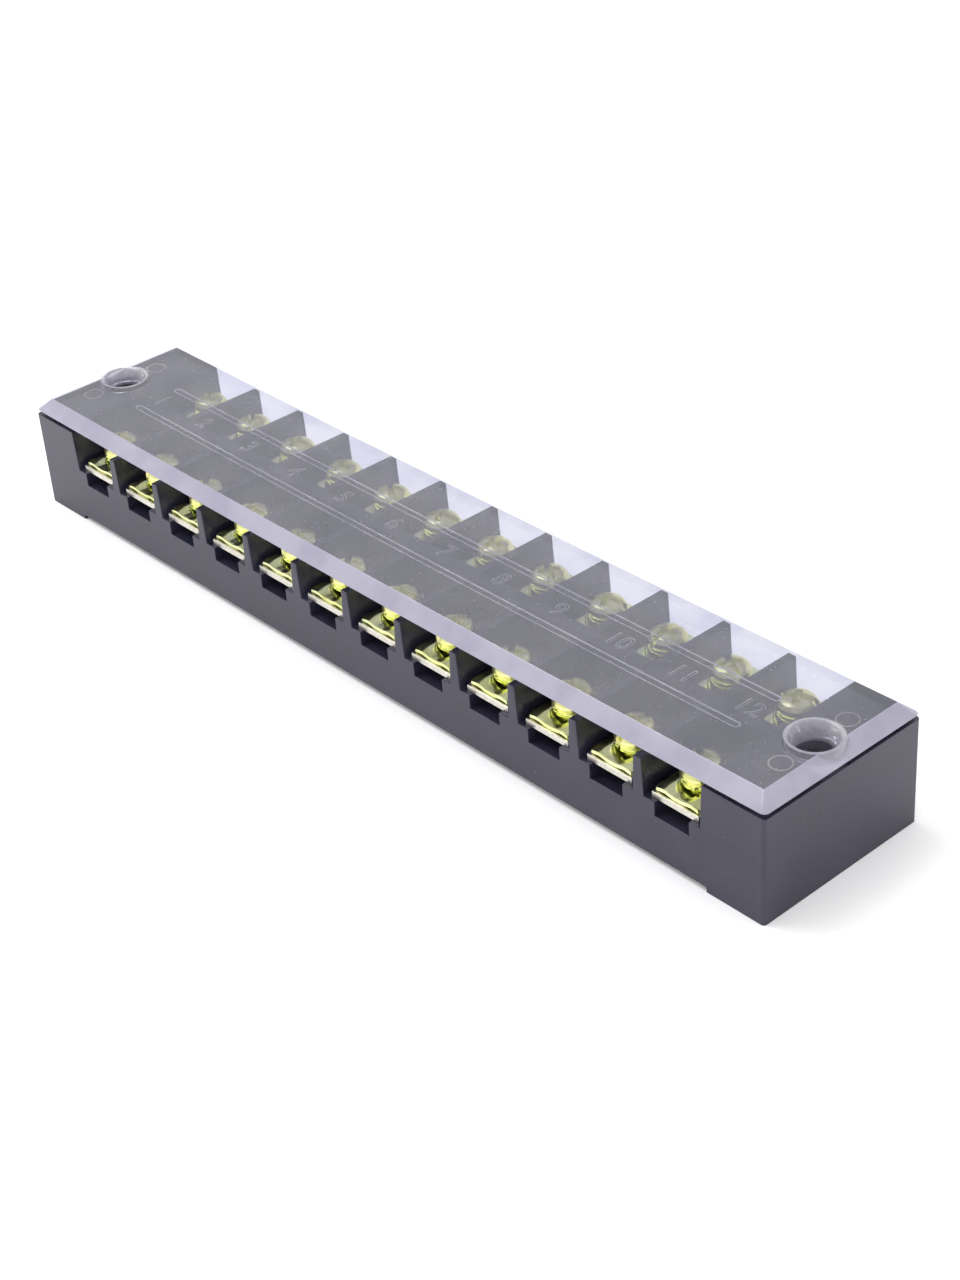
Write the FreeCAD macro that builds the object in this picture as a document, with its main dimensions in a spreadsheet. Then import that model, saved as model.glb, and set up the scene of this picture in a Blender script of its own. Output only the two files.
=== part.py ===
"""Twelve-pole barrier terminal strip with a lift-off clear cover, as a parametric document.

Millimetres. +X runs along the strip, +Z is up, and the origin is the centre of the underside. The wire
entries face -Y (front) and +Y (rear). Every piece takes its size and place from the sheet below, from the
inside out: the link strap sets the pitch, the clamp plates set the width, and the screw stack sets the
height of the barriers. The holes under the screw heads have eight sides, which keeps twenty-four
terminals light; threads, driver slots and split lock washers are small detail and aren't in these solids.
"""

import FreeCAD
import Part
import Sketcher
import math
import os

SIZES = [
    ("poles", 12, "number of poles"),
    ("barrier_root", 2.0, "barrier thickness at the cell floor"),
    ("barrier_crest", 1.25, "barrier thickness at its top"),
    ("spine_width", 2.4, "wall along the middle, between the front and the rear cells"),
    ("corner_radius", 0.6, "upright corners of the base"),
    ("foot_height", 0.8, "relief under the base between its two feet"),
    ("foot_length", 10.0, "foot at each end"),
    ("deck_thickness", 7.6, "base under the strap recess"),
    ("headroom", 2.1, "from a tight screw's head to the top of the barriers"),
    ("strap_width", 8.4, "link strap, along X"),
    ("strap_thickness", 1.0, "link strap"),
    ("strap_gap", 0.8, "from the strap's edge to the barrier's root"),
    ("strap_setback", 0.7, "from the base's long face to the strap's end"),
    ("strap_clearance", 0.15, "round the strap where it passes the spine"),
    ("plate_inset", 0.1, "clamp plate's edge inside the strap's"),
    ("plate_depth", 9.4, "clamp plate, along Y"),
    ("plate_thickness", 0.8, "clamp plate"),
    ("plate_land", 1.2, "flat valley between the plate's two wire grooves, along X"),
    ("plate_crest", 0.3, "rise of the two grooves, whose crests carry the washer"),
    ("plate_lip", 0.05, "rise of the plate's two outer edges"),
    ("plate_to_spine", 3.3, "clamp plate to the spine"),
    ("plate_setback", 1.1, "clamp plate to the base's long face"),
    ("plate_clearance", 0.1, "screw in the clamp plate, on the radius"),
    ("screw_diameter", 3.5, "terminal screw"),
    ("thread_clearance", 0.05, "screw in the strap, on the radius"),
    ("tip_length", 2.0, "screw below the strap"),
    ("tip_clearance", 0.2, "screw's end to the bottom of the recess"),
    ("recess_clearance", 1.3, "screw to the sides of the recess"),
    ("washer_thickness", 0.7, "captive lock washer, pressed flat"),
    ("head_diameter", 5.8, "screw head"),
    ("head_height", 2.1, "screw head"),
    ("mount_diameter", 4.6, "mounting hole"),
    ("peg_bore_clearance", 0.3, "mounting hole to the peg's bore, on the radius"),
    ("peg_wall", 1.1, "cover peg"),
    ("peg_length", 6.8, "cover peg below the top of the base"),
    ("peg_clearance", 0.15, "peg in its socket, on the radius"),
    ("peg_seat_clearance", 0.2, "peg's end to the bottom of its socket"),
    ("socket_wall", 1.15, "base round the peg's socket, at the strip's end"),
    ("collar_width", 0.55, "collar outside the peg, seated on the base and raised past the cover"),
    ("rim_height", 0.15, "collar above the cover"),
    ("rim_crest", 0.35, "flat top of the collar"),
    ("cover_inset", 0.1, "cover's edge inside the base's long face"),
    ("cover_gap", 0.5, "gap that the collars keep between the base and the cover"),
    ("cover_edge", 0.2, "cover's upright edge"),
    ("bevel_rise", 1.8, "cover's bevel, upwards"),
    ("bevel_run", 2.3, "cover's bevel, inwards"),
    ("rib_row", 3.95, "cover's ribs from the middle"),
    ("rib_width", 1.1, "rib under the cover"),
    ("rib_height", 0.25, "rib under the cover"),
    ("rib_setback", 4.35, "rib's end from the end block"),
    ("rib_end_cut", 0.33, "cut across each corner of a rib"),
]

PITCH = "(Sizes.strap_width + 2 * Sizes.strap_gap + Sizes.barrier_root)"
FIRST_POLE = f"(0 - (Sizes.poles - 1) / 2 * {PITCH})"
ROW = "(Sizes.spine_width / 2 + Sizes.plate_to_spine + Sizes.plate_depth / 2)"
HALF_WIDTH = f"({ROW} + Sizes.plate_depth / 2 + Sizes.plate_setback)"
HALF_CELLS = f"(Sizes.poles * {PITCH} / 2)"

PEG_BORE_RADIUS = "(Sizes.mount_diameter / 2 + Sizes.peg_bore_clearance)"
PEG_RADIUS = f"({PEG_BORE_RADIUS} + Sizes.peg_wall)"
SOCKET_RADIUS = f"({PEG_RADIUS} + Sizes.peg_clearance)"
MOUNT_X = f"({HALF_CELLS} + Sizes.socket_wall + {SOCKET_RADIUS})"
HALF_LENGTH = f"({MOUNT_X} + {SOCKET_RADIUS} + Sizes.socket_wall)"

SCREW_RADIUS = "Sizes.screw_diameter / 2"
RECESS_DEPTH = "(Sizes.tip_length + Sizes.tip_clearance)"
FLOOR = f"(Sizes.deck_thickness + {RECESS_DEPTH})"
STRAP_TOP = f"({FLOOR} + Sizes.strap_thickness)"
WASHER_SEAT = f"({STRAP_TOP} + Sizes.plate_thickness + Sizes.plate_crest)"
HEAD_SEAT = f"({WASHER_SEAT} + Sizes.washer_thickness)"
BASE_TOP = f"({HEAD_SEAT} + Sizes.head_height + Sizes.headroom)"
COVER_THICKNESS = "(Sizes.cover_edge + Sizes.bevel_rise)"
COVER_TOP = f"(Sizes.cover_gap + {COVER_THICKNESS})"

SOLVER_START = 10.0
HOLE_SIDES = 8


def fill_sheet(doc):
    """The driving sizes, one row each: name, value and what it measures."""
    sheet = doc.addObject("Spreadsheet::Sheet", "Sizes")
    for row, (alias, value, meaning) in enumerate(SIZES, start=1):
        sheet.set(f"A{row}", alias)
        sheet.set(f"B{row}", str(value))
        sheet.set(f"C{row}", meaning)
        sheet.setAlias(f"B{row}", alias)
    doc.recompute()
    return sheet


def new_body(doc, label):
    """An empty body that gives its label to one piece."""
    body = doc.addObject("PartDesign::Body", label)
    body.Label = label
    return body


def place(body, across, along, height):
    """Ties the body's place to three expressions."""
    for axis, rule in zip("xyz", (across, along, height)):
        body.setExpression(f"Placement.Base.{axis}", rule)


def sketch_on(body, name, role, lift=None):
    """A sketch on one of the body's own origin planes, moved along the plane's normal by lift."""
    sketch = body.newObject("Sketcher::SketchObject", name)
    plane = next(item for item in body.Origin.OriginFeatures if item.Role == role)
    sketch.AttachmentSupport = [(plane, "")]
    sketch.MapMode = "FlatFace"
    if lift:
        sketch.setExpression("AttachmentOffset.Base.z", lift)
    return sketch


def tie_point(sketch, geometry, point, start, across, upward):
    """Holds one point of the sketch at two expressions, measured from the sketch's origin."""
    for kind, value, rule in (("DistanceX", start.x, across), ("DistanceY", start.y, upward)):
        index = sketch.addConstraint(Sketcher.Constraint(kind, -1, 1, geometry, point, value))
        sketch.setExpression(f"Constraints[{index}]", rule)


def draw_polygon(sketch, corners):
    """A closed outline with each corner at a pair of expressions, in order round it."""
    first = sketch.GeometryCount
    steps = range(len(corners))
    turns = [math.tau * step / len(corners) for step in steps]
    starts = [
        FreeCAD.Vector(math.cos(turn), math.sin(turn), 0) * SOLVER_START + FreeCAD.Vector(1, 2, 0)
        for turn in turns
    ]
    for step in steps:
        sketch.addGeometry(Part.LineSegment(starts[step - 1], starts[step]))
    for step in steps:
        before = first + (step - 1) % len(corners)
        sketch.addConstraint(Sketcher.Constraint("Coincident", before, 2, first + step, 1))
        tie_point(sketch, before, 2, starts[step - 1], *corners[step - 1])


def draw_rectangle(sketch, west, east, south, north):
    """A rectangle between four expressions."""
    draw_polygon(sketch, [(west, south), (east, south), (east, north), (west, north)])


def draw_hole(sketch, across, upward, radius):
    """An eight-sided hole whose flats stand at the radius from its centre."""
    corner = f"{radius} * {math.tan(math.pi / HOLE_SIDES):.6f}"
    flats = [(radius, corner), (corner, radius)]
    signs = [(1, 1), (-1, 1), (-1, -1), (1, -1)]
    corners = []
    for turn, (right, up) in enumerate(signs):
        for x, y in flats if turn % 2 == 0 else reversed(flats):
            corners.append((f"{across} + ({right}) * {x}", f"{upward} + ({up}) * {y}"))
    draw_polygon(sketch, corners)


def draw_circle(sketch, across, radius):
    """A circle on the sketch's horizontal axis, with its place along it and its radius as expressions."""
    start = FreeCAD.Vector(SOLVER_START, 0, 0)
    ring = sketch.addGeometry(Part.Circle(start, FreeCAD.Vector(0, 0, 1), 1.0))
    sketch.addConstraint(Sketcher.Constraint("PointOnObject", ring, 3, -1))
    index = sketch.addConstraint(Sketcher.Constraint("DistanceX", -1, 1, ring, 3, start.x))
    sketch.setExpression(f"Constraints[{index}]", across)
    index = sketch.addConstraint(Sketcher.Constraint("Radius", ring, 1.0))
    sketch.setExpression(f"Constraints[{index}]", radius)


def draw_bar(sketch, reach, row, half):
    """A bar along X, symmetric about x = 0, with its four corners cut at 45 degrees."""
    cut = "Sizes.rib_end_cut"
    corners = []
    for right, up in ((1, 1), (-1, 1), (-1, -1), (1, -1)):
        end = (f"({right}) * {reach}", f"{row} + ({up}) * ({half} - {cut})")
        side = (f"({right}) * ({reach} - {cut})", f"{row} + ({up}) * {half}")
        corners += [end, side] if right == up else [side, end]
    draw_polygon(sketch, corners)


def pad(body, name, sketch, length):
    """Adds material above the sketch."""
    feature = body.newObject("PartDesign::Pad", name)
    feature.Profile = sketch
    feature.setExpression("Length", length)
    body.Tip = feature
    return feature


def pad_both_ways(body, name, sketch, length):
    """Adds material half on each side of the sketch."""
    feature = pad(body, name, sketch, length)
    feature.Midplane = True
    return feature


def pocket(body, name, sketch, length, upwards=False):
    """Removes material below the sketch, or above it."""
    feature = body.newObject("PartDesign::Pocket", name)
    feature.Profile = sketch
    feature.setExpression("Length", length)
    feature.Reversed = upwards
    body.Tip = feature
    return feature


def pocket_through(body, name, sketch):
    """Removes material all the way through, on both sides of the sketch."""
    feature = body.newObject("PartDesign::Pocket", name)
    feature.Profile = sketch
    feature.Type = "ThroughAll"
    feature.Midplane = True
    body.Tip = feature
    return feature


def revolve(body, name, sketch):
    """Turns the sketch once round its own upright axis."""
    feature = body.newObject("PartDesign::Revolution", name)
    feature.Profile = sketch
    feature.ReferenceAxis = (sketch, ["V_Axis"])
    feature.Angle = 360
    body.Tip = feature
    return feature


def repeat_for_each_pole(body, name, features, sketch):
    """Repeats the features of the first pole along the strip."""
    pattern = body.newObject("PartDesign::LinearPattern", name)
    pattern.Originals = features
    pattern.Direction = (sketch, ["H_Axis"])
    pattern.setExpression("Length", f"(Sizes.poles - 1) * {PITCH}")
    pattern.setExpression("Occurrences", "Sizes.poles")
    body.Tip = pattern
    return pattern


def is_upright(edge):
    """Whether the edge climbs more than it runs."""
    direction = edge.tangentAt(edge.FirstParameter)
    return abs(direction.z) > math.hypot(direction.x, direction.y)


def round_upright_edges(body, name, feature, radius):
    """Rounds every upright edge of the feature."""
    body.Document.recompute()
    names = [
        f"Edge{number}"
        for number, edge in enumerate(feature.Shape.Edges, start=1)
        if is_upright(edge)
    ]
    fillet = body.newObject("PartDesign::Fillet", name)
    fillet.Base = (feature, names)
    fillet.setExpression("Radius", radius)
    body.Tip = fillet
    return fillet


def build_base(doc):
    """The moulding: drafted cells, spine, strap recesses, feet and a mounting socket at each end."""
    body = new_body(doc, "base")

    outline = sketch_on(body, "base_outline", "XY_Plane")
    draw_rectangle(
        outline, f"0 - {HALF_LENGTH}", HALF_LENGTH, f"0 - {HALF_WIDTH}", HALF_WIDTH
    )
    block = pad(body, "base_block", outline, BASE_TOP)
    round_upright_edges(body, "base_corners", block, "Sizes.corner_radius")

    relief = sketch_on(body, "relief_outline", "XY_Plane")
    reach = f"({HALF_LENGTH} - Sizes.foot_length)"
    past_the_side = f"2 * {HALF_WIDTH}"
    draw_rectangle(relief, f"0 - {reach}", reach, f"0 - {past_the_side}", past_the_side)
    pocket(body, "relief_between_feet", relief, "Sizes.foot_height", upwards=True)

    cell = sketch_on(body, "cell_section", "XZ_Plane")
    root = f"({PITCH} - Sizes.barrier_root) / 2"
    crest = f"({PITCH} - Sizes.barrier_crest) / 2"
    draw_polygon(
        cell,
        [
            (f"{FIRST_POLE} - {root}", FLOOR),
            (f"{FIRST_POLE} + {root}", FLOOR),
            (f"{FIRST_POLE} + {crest}", BASE_TOP),
            (f"{FIRST_POLE} - {crest}", BASE_TOP),
        ],
    )
    first_cell = pocket_through(body, "first_cell", cell)
    repeat_for_each_pole(body, "cells", [first_cell], cell)

    spine = sketch_on(body, "spine_outline", "XY_Plane", lift=FLOOR)
    half = "Sizes.spine_width / 2"
    draw_rectangle(spine, f"0 - {HALF_CELLS}", HALF_CELLS, f"0 - {half}", half)
    pad(body, "spine", spine, f"{BASE_TOP} - {FLOOR}")

    channel = sketch_on(body, "channel_section", "XZ_Plane")
    recess = f"({SCREW_RADIUS} + Sizes.recess_clearance)"
    window = "(Sizes.strap_width / 2 + Sizes.strap_clearance)"
    window_top = f"{STRAP_TOP} + Sizes.strap_clearance"
    draw_polygon(
        channel,
        [
            (f"{FIRST_POLE} - {recess}", "Sizes.deck_thickness"),
            (f"{FIRST_POLE} + {recess}", "Sizes.deck_thickness"),
            (f"{FIRST_POLE} + {recess}", FLOOR),
            (f"{FIRST_POLE} + {window}", FLOOR),
            (f"{FIRST_POLE} + {window}", window_top),
            (f"{FIRST_POLE} - {window}", window_top),
            (f"{FIRST_POLE} - {window}", FLOOR),
            (f"{FIRST_POLE} - {recess}", FLOOR),
        ],
    )
    first_channel = pocket_through(body, "first_channel", channel)
    repeat_for_each_pole(body, "channels", [first_channel], channel)

    holes = sketch_on(body, "mount_circles", "XY_Plane")
    sockets = sketch_on(body, "socket_circles", "XY_Plane", lift=BASE_TOP)
    for side in (f"0 - {MOUNT_X}", MOUNT_X):
        draw_circle(holes, side, "Sizes.mount_diameter / 2")
        draw_circle(sockets, side, SOCKET_RADIUS)
    pocket_through(body, "mount_holes", holes)
    pocket(body, "peg_sockets", sockets, "Sizes.peg_length + Sizes.peg_seat_clearance")
    return body


def build_straps(doc):
    """One separate strap for each pole, with a hole for the front screw and one for the rear."""
    body = new_body(doc, "link_straps")
    body.AllowCompound = True
    reach = f"({HALF_WIDTH} - Sizes.strap_setback)"

    flat = sketch_on(body, "strap_outline", "XY_Plane", lift=FLOOR)
    draw_rectangle(
        flat,
        f"{FIRST_POLE} - Sizes.strap_width / 2",
        f"{FIRST_POLE} + Sizes.strap_width / 2",
        f"0 - {reach}",
        reach,
    )
    bar = pad(body, "first_strap", flat, "Sizes.strap_thickness")

    holes = sketch_on(body, "strap_hole_outlines", "XY_Plane", lift=FLOOR)
    for row in (f"0 - {ROW}", ROW):
        draw_hole(holes, FIRST_POLE, row, f"({SCREW_RADIUS} + Sizes.thread_clearance)")
    tapped = pocket_through(body, "first_strap_holes", holes)
    repeat_for_each_pole(body, "straps", [bar, tapped], flat)
    return body


def build_clamp_plate(doc, label, pole, row):
    """A pressed plate: two raised wire grooves that the washer stands on, and a valley between them."""
    body = new_body(doc, label)
    place(body, f"{FIRST_POLE} + {pole} * {PITCH}", row, STRAP_TOP)

    section = sketch_on(body, "plate_section", "XZ_Plane")
    edge = "(Sizes.strap_width / 2 - Sizes.plate_inset)"
    land = "Sizes.plate_land / 2"
    crest = f"({edge} + {land}) / 2"
    lower = [
        (f"0 - {edge}", "Sizes.plate_lip"),
        (f"0 - {crest}", "Sizes.plate_crest"),
        (f"0 - {land}", "0"),
        (land, "0"),
        (crest, "Sizes.plate_crest"),
        (edge, "Sizes.plate_lip"),
    ]
    upper = [(across, f"{height} + Sizes.plate_thickness") for across, height in reversed(lower)]
    draw_polygon(section, lower + upper)
    pad_both_ways(body, "plate", section, "Sizes.plate_depth")

    hole = sketch_on(body, "screw_hole_outline", "XY_Plane")
    draw_hole(hole, "0", "0", f"({SCREW_RADIUS} + Sizes.plate_clearance)")
    pocket_through(body, "screw_hole", hole)
    return body


def build_screw(doc, label, pole, row):
    """A screw whose head and captive lock washer stand on the clamp plate as one cylinder."""
    body = new_body(doc, label)
    place(body, f"{FIRST_POLE} + {pole} * {PITCH}", row, HEAD_SEAT)

    profile = sketch_on(body, "screw_profile", "XZ_Plane")
    head = "Sizes.head_diameter / 2"
    washer_foot = "0 - Sizes.washer_thickness"
    end = f"{FLOOR} - Sizes.tip_length - {HEAD_SEAT}"
    draw_polygon(
        profile,
        [
            ("0", "Sizes.head_height"),
            ("0", end),
            (SCREW_RADIUS, end),
            (SCREW_RADIUS, washer_foot),
            (head, washer_foot),
            (head, "Sizes.head_height"),
        ],
    )
    revolve(body, "screw", profile)
    return body


def build_cover(doc):
    """The clear cover: bevelled plate, two ribs under it, and a hollow peg in a collar at each end."""
    body = new_body(doc, "cover")
    place(body, "0", "0", BASE_TOP)

    outline = sketch_on(body, "cover_outline", "XY_Plane", lift="Sizes.cover_gap")
    half_width = f"({HALF_WIDTH} - Sizes.cover_inset)"
    draw_rectangle(outline, f"0 - {HALF_LENGTH}", HALF_LENGTH, f"0 - {half_width}", half_width)
    plate = pad(body, "cover_plate", outline, COVER_THICKNESS)
    doc.recompute()
    top = max(plate.Shape.Faces, key=lambda face: face.CenterOfGravity.z)
    rim_edges = [
        f"Edge{number}"
        for number, edge in enumerate(plate.Shape.Edges, start=1)
        if any(edge.isSame(other) for other in top.Edges)
    ]
    bevel = body.newObject("PartDesign::Chamfer", "cover_bevel")
    bevel.Base = (plate, rim_edges)
    bevel.ChamferType = "Two distances"
    bevel.setExpression("Size", "Sizes.bevel_rise")
    bevel.setExpression("Size2", "Sizes.bevel_run")
    body.Tip = bevel

    rib_foot = "Sizes.cover_gap - Sizes.rib_height"
    bars = sketch_on(body, "rib_outlines", "XY_Plane", lift=rib_foot)
    reach = f"({HALF_CELLS} - Sizes.rib_setback)"
    for row in ("Sizes.rib_row", "0 - Sizes.rib_row"):
        draw_bar(bars, reach, row, "Sizes.rib_width / 2")
    pad(body, "ribs", bars, "Sizes.rib_height")

    for name, side in (("near", MOUNT_X), ("far", f"0 - {MOUNT_X}")):
        build_peg(body, name, side)
    return body


def build_peg(body, name, side):
    """A hollow peg that hangs from a collar through the cover, with a funnel from the collar's top."""
    collar_radius = f"({PEG_RADIUS} + Sizes.collar_width)"
    collar_top = f"{COVER_TOP} + Sizes.rim_height"
    collar = sketch_on(body, f"{name}_collar_circle", "XY_Plane")
    draw_circle(collar, side, collar_radius)
    pad(body, f"{name}_collar", collar, collar_top)
    peg = sketch_on(body, f"{name}_peg_circle", "XY_Plane", lift="0 - Sizes.peg_length")
    draw_circle(peg, side, PEG_RADIUS)
    pad(body, f"{name}_peg", peg, "Sizes.peg_length")

    funnel = sketch_on(body, f"{name}_funnel_section", "XZ_Plane")
    mouth = f"{collar_radius} - Sizes.rim_crest"
    past_the_end = "0 - 2 * Sizes.peg_length"
    draw_polygon(
        funnel,
        [
            (side, past_the_end),
            (f"{side} + {PEG_BORE_RADIUS}", past_the_end),
            (f"{side} + {PEG_BORE_RADIUS}", "0"),
            (f"{side} + {mouth}", collar_top),
            (side, collar_top),
        ],
    )
    axis = funnel.addGeometry(
        Part.LineSegment(
            FreeCAD.Vector(SOLVER_START, 0, 0), FreeCAD.Vector(SOLVER_START, SOLVER_START, 0)
        ),
        True,
    )
    funnel.addConstraint(Sketcher.Constraint("Vertical", axis))
    funnel.addConstraint(Sketcher.Constraint("PointOnObject", 0, 2, axis))
    groove = body.newObject("PartDesign::Groove", f"{name}_funnel")
    groove.Profile = funnel
    groove.ReferenceAxis = (funnel, ["Axis0"])
    groove.Angle = 360
    body.Tip = groove


def check(doc, bodies):
    """Stops before anything is written if an object failed or a piece has no valid shape."""
    for item in doc.Objects:
        if "Invalid" in item.State or "Error" in item.State:
            raise RuntimeError(f"{item.Label} is in state {item.State}")
    for body in bodies:
        if body.Shape.isNull() or not body.Shape.isValid():
            raise RuntimeError(f"{body.Label} has no valid shape")


def main():
    """Builds every piece and writes one file for each."""
    doc = FreeCAD.newDocument("barrier_terminal_strip")
    sheet = fill_sheet(doc)
    bodies = [build_base(doc), build_cover(doc), build_straps(doc)]
    for side, row in (("front", f"0 - {ROW}"), ("rear", ROW)):
        for pole in range(int(sheet.poles)):
            bodies.append(build_clamp_plate(doc, f"clamp_plate_{side}_{pole + 1:02d}", pole, row))
            bodies.append(build_screw(doc, f"terminal_screw_{side}_{pole + 1:02d}", pole, row))
    doc.recompute()
    check(doc, bodies)
    os.makedirs("parts", exist_ok=True)
    for body in bodies:
        body.Shape.exportStep(f"parts/{body.Label}.step")


main()
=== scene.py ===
"""Dresses a twelve-pole barrier terminal strip: black moulding, clear cover, plated screws and clamps.

The strip's lengths are in millimetres below and become metres when a mesh is made; the floor's and the
lamps' are in metres. +X runs along the strip, -Y is its front and +Z is up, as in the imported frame.
"""

import logging
import math
from collections.abc import Iterator
from contextlib import contextmanager
from dataclasses import dataclass
from enum import Enum, IntEnum

import bmesh
import bpy
import numpy as np
from mathutils import Matrix, Vector


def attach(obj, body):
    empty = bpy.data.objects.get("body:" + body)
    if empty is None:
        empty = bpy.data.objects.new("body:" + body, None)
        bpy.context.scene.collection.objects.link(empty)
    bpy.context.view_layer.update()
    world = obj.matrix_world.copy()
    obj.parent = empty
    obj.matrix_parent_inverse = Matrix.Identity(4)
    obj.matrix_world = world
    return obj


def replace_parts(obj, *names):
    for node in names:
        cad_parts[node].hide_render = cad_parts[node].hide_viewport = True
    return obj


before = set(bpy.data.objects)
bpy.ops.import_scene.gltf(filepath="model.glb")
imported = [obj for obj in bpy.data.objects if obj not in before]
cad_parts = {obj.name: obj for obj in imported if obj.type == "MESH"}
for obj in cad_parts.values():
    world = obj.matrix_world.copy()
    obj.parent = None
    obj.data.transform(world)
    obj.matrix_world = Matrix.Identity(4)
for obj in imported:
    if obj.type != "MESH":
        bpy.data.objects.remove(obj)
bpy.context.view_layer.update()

log = logging.getLogger("terminal_strip")

MM = 0.001
WELD = 1e-6  # metres within which points become one
CREASE = 30  # degrees past which an edge of the base, straps and cover is sharp
POLES = 12
PITCH = 12.0

Socket = bpy.types.NodeSocket
Triple = tuple[float, float, float]


class Side(Enum):
    """The two long sides, each with its sign along Y."""

    FRONT = -1
    REAR = 1


class CoverFinish(IntEnum):
    """The cover's finishes, by their places in its list. All but PLATE are the same clear plastic made paler
    and less clear: painted light that stands in for the light the clear moulding bends at its bevel, moulded
    lines, pin rings and funnels.
    """

    PLATE = 0
    BEVEL = 1
    LINE = 2
    PIN = 3
    FUNNEL = 4


def pole_x(pole: int) -> float:
    """Where a pole stands along the strip, counted from 1 at its left end."""
    return (pole - (POLES + 1) / 2) * PITCH


# ---------------------------------------------------------------- surfaces


@dataclass
class Patch:
    """Faces that share a finish, by the finish's place in the piece's list."""

    faces: np.ndarray
    finish: int = 0


Skin = tuple[np.ndarray, list[Patch]]  # points in millimetres, and the patches that join them


def ring_faces(rows: int, columns: int, wrap: bool) -> np.ndarray:
    """Quads of a grid whose rows are closed rings.

    Each quad joins point (i, j) to (i, j + 1), (i + 1, j + 1) and (i + 1, j), with j counted round the ring.

    Args:
        rows: number of rings.
        columns: points in each ring.
        wrap: whether the last ring joins the first.

    Returns:
        Point numbers, four to a row.
    """
    last = rows if wrap else rows - 1
    i, j = np.meshgrid(np.arange(last), np.arange(columns), indexing="ij")
    i, j = i.ravel(), j.ravel()
    below, right = (i + 1) % rows, (j + 1) % columns
    corners = (i * columns + j, i * columns + right, below * columns + right, below * columns + j)
    return np.stack(corners, axis=1)


def tube(rings: np.ndarray) -> Skin:
    """A closed skin over rings, with a fan of triangles to a pole at either end.

    The poles are the mean points of the first and the last ring.

    Args:
        rings: array of shape (rows, columns, 3).

    Returns:
        Points, and patches of quads and triangles.
    """
    rows, columns = rings.shape[:2]
    points = np.concatenate([rings.reshape(-1, 3), rings[0].mean(0)[None], rings[-1].mean(0)[None]])
    j = np.arange(columns)
    after = (j + 1) % columns
    head, tail = rows * columns, rows * columns + 1
    start = np.stack([np.full(columns, head), after, j], axis=1)
    offset = (rows - 1) * columns
    end = np.stack([np.full(columns, tail), offset + j, offset + after], axis=1)
    return points, [Patch(ring_faces(rows, columns, False)), Patch(np.concatenate([start, end]))]


def hoop(rings: np.ndarray) -> Skin:
    """A closed skin over rings whose last ring joins the first.

    Args:
        rings: array of shape (rows, columns, 3).

    Returns:
        Points and one patch of quads.
    """
    rows, columns = rings.shape[:2]
    return rings.reshape(-1, 3), [Patch(ring_faces(rows, columns, True))]


def inside_out(points: np.ndarray, patches: list[Patch]) -> Skin:
    """The same skin with every face turned over."""
    return points, [Patch(patch.faces[:, ::-1], patch.finish) for patch in patches]


def rounded_rectangle(half_x: float, half_y: float, radius: float, arc: int) -> np.ndarray:
    """Corner arcs of a rectangle, anticlockwise: centre of each corner plus radius times (cos a, sin a).

    Args:
        half_x: half the length along X.
        half_y: half the length along Y.
        radius: corner radius.
        arc: points on each corner.

    Returns:
        Array of shape (4 * arc, 2).
    """
    turn = np.linspace(0, math.pi / 2, arc)[None] + np.arange(4)[:, None] * math.pi / 2
    centre = np.array([[1, 1], [-1, 1], [-1, -1], [1, -1]]) * (half_x - radius, half_y - radius)
    arcs = np.stack([np.cos(turn), np.sin(turn)], axis=2) * radius
    return (centre[:, None] + arcs).reshape(-1, 2)


def circle(centre: tuple[float, float], radius: float, steps: int) -> np.ndarray:
    """Points round a circle, anticlockwise: centre plus radius times (cos a, sin a)."""
    turn = np.arange(steps) * math.tau / steps
    return np.array(centre) + radius * np.stack([np.cos(turn), np.sin(turn)], axis=1)


def around(radius: np.ndarray, turn: np.ndarray, height: np.ndarray) -> np.ndarray:
    """Points at a radius, a turn and a height, each given for every point or once for many."""
    x, y, z = np.broadcast_arrays(radius * np.cos(turn), radius * np.sin(turn), height)
    return np.stack([x, y, z], axis=-1)


def at_height(outline: np.ndarray, height: float) -> np.ndarray:
    """The outline's points with one height added as Z."""
    return np.column_stack([outline, np.full(len(outline), height)])


def smooth_step(value: np.ndarray, low: float, high: float) -> np.ndarray:
    """Rises from 0 at low to 1 at high along 3 t^2 - 2 t^3."""
    t = np.clip((value - low) / (high - low), 0, 1)
    return t * t * (3 - 2 * t)


# ---------------------------------------------------------------- meshes


def add_object(name: str, data: bpy.types.ID) -> bpy.types.Object:
    """A new object in the scene, with a mesh, text, camera or lamp as its data."""
    item = bpy.data.objects.new(name, data)
    bpy.context.scene.collection.objects.link(item)
    return item


def make_smooth(mesh: bpy.types.Mesh, crease: float) -> None:
    """Shades every face smooth and keeps edges past an angle in degrees sharp."""
    mesh.shade_smooth()
    mesh.set_sharp_from_angle(angle=math.radians(crease))


def evaluated_mesh(item: bpy.types.Object) -> bpy.types.Mesh:
    """A new mesh of what an object's modifiers or text settings make of it."""
    bpy.context.view_layer.update()
    return bpy.data.meshes.new_from_object(item.evaluated_get(bpy.context.evaluated_depsgraph_get()))


@contextmanager
def opened(mesh: bpy.types.Mesh) -> Iterator[bmesh.types.BMesh]:
    """Opens a mesh for editing and writes the result back to it."""
    shell = bmesh.new()
    shell.from_mesh(mesh)
    yield shell
    shell.to_mesh(mesh)
    shell.free()


def triples(items: bpy.types.bpy_prop_collection, name: str, kind: type = float) -> np.ndarray:
    """A property of three numbers, read from all vertices or faces of a mesh.

    Args:
        items: the vertices or the faces.
        name: the property.
        kind: type of its numbers.

    Returns:
        Array with a row for each item.
    """
    values = np.empty(len(items) * 3, dtype=kind)
    items.foreach_get(name, values)
    return values.reshape(-1, 3)


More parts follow.
